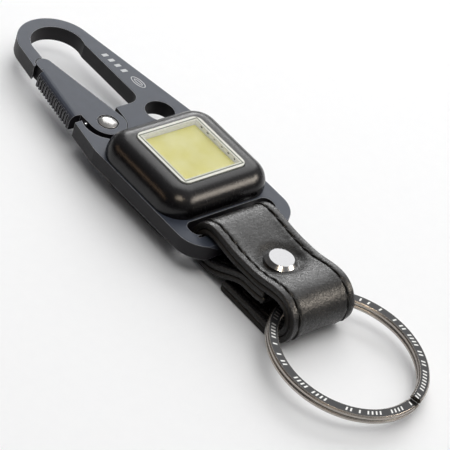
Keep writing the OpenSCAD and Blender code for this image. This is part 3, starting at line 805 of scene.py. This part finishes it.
def make_dam_marks(wall_y, z, paint):
    """A few dark flecks on the far wall of the dam round the emitter."""
    points, faces = [], []
    low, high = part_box("cob_emitter")
    for i in range(FLECK_COUNT):
        share = (i + 0.6) / (FLECK_COUNT + 0.3)
        x = (low.x + (high.x - low.x) * share) / MM + random.uniform(-FLECK_STRAY, FLECK_STRAY)
        rx, rz = random.uniform(*FLECK_HALF_WIDE), random.uniform(*FLECK_HALF_TALL)
        base = len(points)
        for k, out in FLECK_PROFILE:
            for j in range(FLECK_SIDES):
                a = 2 * math.pi * j / FLECK_SIDES
                points.append((x + rx * k * math.cos(a), wall_y + out, z + rz * k * math.sin(a)))
        dome = tube_faces(len(FLECK_PROFILE), FLECK_SIDES)
        faces += [tuple(v + base for v in face) for face in dome]
    add_mesh("dam_flecks", points, faces, paint, "lens_button")


def flat_shape(outline, z, thickness, points, faces):
    """Adds a thin solid plate of the outline's shape."""
    base = len(points)
    n = len(outline)
    points += [(x, y, z) for x, y in outline]
    points += [(x, y, z + thickness) for x, y in outline]
    faces.append(tuple(base + n + i for i in range(n)))
    faces.append(tuple(reversed([base + i for i in range(n)])))
    for i in range(n):
        j = (i + 1) % n
        faces.append((base + i, base + j, base + n + j, base + n + i))


def flat_band(outer, inner, z, thickness, points, faces):
    """Adds a thin closed band between two outlines."""
    base, n = len(points), len(outer)
    for outline, height in ((outer, 0), (outer, thickness), (inner, thickness), (inner, 0)):
        points += [(x, y, z + height) for x, y in outline]
    for ring in range(4):
        for i in range(n):
            j = (i + 1) % n
            up = ((ring + 1) % 4) * n
            faces.append((base + ring * n + i, base + ring * n + j, base + up + j, base + up + i))


def make_plate_marks(paint):
    """A plain oval badge and a row of slanted stripes on the arm beside the opening."""
    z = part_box("carabiner_frame")[1].z / MM
    points, faces = [], []
    turn = math.radians(MARK_ANGLE_DEG)

    def placed(x, y):
        return (MARK_AT[0] + x * math.cos(turn) - y * math.sin(turn),
                MARK_AT[1] + x * math.sin(turn) + y * math.cos(turn))

    for wide, tall, thin in MARK_OVALS:
        flat_band([placed(wide * math.cos(a), tall * math.sin(a)) for a in ROUND],
                  [placed((wide - thin) * math.cos(a), (tall - thin) * math.sin(a)) for a in ROUND],
                  z, MARK_THICK, points, faces)
    for i in range(STRIPE_COUNT):
        x0 = STRIPE_START + STRIPE_PITCH * i
        x1 = x0 + STRIPE_SLANT
        stripe = [(x0, -STRIPE_HALF_TALL), (x0 + STRIPE_WIDE, -STRIPE_HALF_TALL),
                  (x1 + STRIPE_WIDE, STRIPE_HALF_TALL), (x1, STRIPE_HALF_TALL)]
        flat_shape([placed(x, y) for x, y in stripe], z, MARK_THICK, points, faces)
    add_mesh("plate_marks", points, faces, paint, "frame", smooth=False)


# ---------- studio, in metres and watts ----------

WHITE = (1.0, 1.0, 1.0)
SKY_GRADES = (("Z", 0.0, 0.9, 0.15, 0.80), ("Y", -0.5, 0.6, 1.0, 0.18))
FLOOR_REACH = 1.6
FLOOR_STEPS = 8
FLOOR_DROP = 0.00002
CENTRE = (0, 0, 0)

# Each lamp's name, place, aim, size, power and colour. The glints show only as reflections.
SOFTBOX_BACK = ("softbox_back", (0.35, -0.42, 0.42), CENTRE, (0.62, 0.62), 3.0, WHITE)
SOFTBOX_TOP = ("softbox_top", (-0.10, 0.05, 0.75), CENTRE, (0.6, 0.6), 2.2, WHITE)
GLINTS = (
    ("strip_side", (-0.39, -0.45, 0.38), (-0.02, 0, 0), (0.40, 0.16), 2.8, (1.0, 0.90, 0.78)),
    ("rim_strip", (0.53, -0.46, 0.25), (0.01, 0, 0), (0.35, 0.06), 0.8, WHITE),
    ("warm_card", (0.30, 0.46, 0.28), CENTRE, (0.5, 0.05), 0.30, (1.0, 0.68, 0.42)),
    ("warm_dot", (-0.23, 0.17, 0.53), CENTRE, (0.035, 0.035), 0.9, (1.0, 0.86, 0.68)),
    ("warm_dot_low", (-0.29, 0.13, 0.50), CENTRE, (0.03, 0.03), 0.6, (1.0, 0.82, 0.62)),
)


def add_area(name, place, aim, size, power, colour):
    """A rectangular lamp at a place, turned to face its aim."""
    data = bpy.data.lights.new(name, "AREA")
    data.shape = "RECTANGLE"
    data.size, data.size_y = size
    data.energy = power
    data.color = colour
    lamp = bpy.data.objects.new(name, data)
    lamp.location = place
    lamp.rotation_euler = (Vector(aim) - Vector(place)).to_track_quat("-Z", "Y").to_euler()
    bpy.context.scene.collection.objects.link(lamp)
    return lamp


def make_studio():
    """A white sky, brighter overhead and on the far side, with two softboxes and five glints."""
    world = bpy.data.worlds.new("studio")
    bpy.context.scene.world = world
    world.use_nodes = True
    nt = world.node_tree
    sky = nt.nodes["Background"]
    where = nt.nodes.new("ShaderNodeTexCoord")
    split = nt.nodes.new("ShaderNodeSeparateXYZ")
    nt.links.new(where.outputs["Generated"], split.inputs[0])
    strengths = []
    for axis, *limits in SKY_GRADES:
        grade = nt.nodes.new("ShaderNodeMapRange")
        nt.links.new(split.outputs[axis], grade.inputs["Value"])
        for title, number in zip(RANGE_SOCKETS, limits):
            grade.inputs[title].default_value = number
        strengths.append(grade.outputs["Result"])
    product = nt.nodes.new("ShaderNodeMath")
    product.operation = "MULTIPLY"
    nt.links.new(strengths[0], product.inputs[0])
    nt.links.new(strengths[1], product.inputs[1])
    nt.links.new(product.outputs[0], sky.inputs["Strength"])
    sky.inputs["Color"].default_value = (1.0, 1.0, 1.0, 1.0)
    add_area(*SOFTBOX_BACK)
    add_area(*SOFTBOX_TOP).visible_glossy = False
    for facts in GLINTS:
        add_area(*facts).visible_diffuse = False


def make_floor(paint):
    """A wide flat floor just under the part."""
    z = cad_box[0].z - FLOOR_DROP
    places = [(i / FLOOR_STEPS - 0.5) * 2 * FLOOR_REACH for i in range(FLOOR_STEPS + 1)]
    points = [(x, y, z) for y in places for x in places]
    row = FLOOR_STEPS + 1
    faces = []
    for j in range(FLOOR_STEPS):
        for i in range(FLOOR_STEPS):
            a = j * row + i
            faces.append((a, a + 1, a + row + 1, a + row))
    mesh = bpy.data.meshes.new("floor")
    mesh.from_pydata(points, [], faces)
    mesh.update()
    mesh.materials.append(paint.mat)
    floor = bpy.data.objects.new("floor", mesh)
    bpy.context.scene.collection.objects.link(floor)


# ---------- the whole ----------

make_camera()
make_studio()
make_floor(floor_paper())
bpy.context.scene.view_settings.view_transform = "Standard"

wear(plate_coat(), "carabiner_frame", "gate_lever")
wear(gloss_housing(), "light_housing")
wear(lens_plastic(), "lens_cap")
wear(phosphor(), "cob_emitter")
wear(polished("rivet_steel", (0.42, 0.41, 0.40), 0.16, 0.28, dents=0.3), "gate_pivot_rivet")
wear(polished("snap_nickel", (0.27, 0.27, 0.275), 0.14, 0.28),
     "snap_cap", "snap_socket", "snap_stud", "snap_post")
wear(ring_metal(), "key_ring")
wear(plain_part("cover_plastic", (0.018, 0.018, 0.019), (0.035, 0.035, 0.036), 0.5), "battery_cover")
wear(plain_part("screw_steel", (0.35, 0.35, 0.36), (0.55, 0.55, 0.56), 0.35, 1.0), "cover_screws")
wear(plain_part("spring_wire", (0.50, 0.50, 0.50), (0.66, 0.66, 0.66), 0.25, 1.0),
     "gate_spring", "button_spring", "tact_switch")
wear(plain_part("cell_can", (0.55, 0.55, 0.56), (0.70, 0.70, 0.71), 0.28, 1.0), "upper_cell", "lower_cell")
wear(plain_part("contact_strip", (0.62, 0.52, 0.30), (0.75, 0.65, 0.42), 0.3, 1.0),
     "positive_contact", "negative_contact")
wear(plain_part("seal_rubber", (0.012, 0.012, 0.012), (0.025, 0.025, 0.025), 0.7),
     "housing_gasket", "cover_seal")
wear(plain_part("inner_plastic", (0.02, 0.02, 0.021), (0.045, 0.045, 0.047), 0.5),
     "button_carrier", "board_components")
wear(plain_part("wire_sleeve", (0.35, 0.03, 0.02), (0.50, 0.06, 0.04), 0.5), "led_wires")
wear(plain_part("board_mask", (0.62, 0.62, 0.48), (0.74, 0.74, 0.60), 0.4, per_mm=4.0), "led_board")
wear(circuit_board(), "control_board")

strap = Strap()
make_ply(strap, "strap_face", 1, leather("face_leather", True), "strap_outer")
make_ply(strap, "strap_back", -1, leather("lining_leather", False), "strap_lining")
make_stitching(strap, thread())

emitter_low, emitter_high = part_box("cob_emitter")
board_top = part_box("led_board")[1].z / MM
lens_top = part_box("lens_cap")[1].z / MM
dam = plain_part("emitter_dam", (0.70, 0.70, 0.68), (0.86, 0.86, 0.85), 0.4, per_mm=4.0)
# Painted light: the dam glows faintly though it is no lamp, which brightens its shaded walls.
dam.set(emission_color=(0.86, 0.85, 0.88, 1.0), emission_strength=0.16)
frame_ring("emitter_dam", LENS_WINDOW_MM - DAM_INSET, LENS_WINDOW_MM + DAM_OUTSET, board_top,
           lens_top - DAM_BELOW_LENS, dam, "lens_button")
fleck = plain_part("fleck", (0.01, 0.01, 0.009), (0.04, 0.035, 0.03), 0.4)
make_dam_marks(emitter_low.y / MM - FLECK_WALL, emitter_high.z / MM + FLECK_HEIGHT, fleck)
make_plate_marks(plain_part("mark_paint", (0.40, 0.41, 0.42), (0.56, 0.57, 0.58), 0.5,
                            per_mm=5.0, bump_mm=0.004))
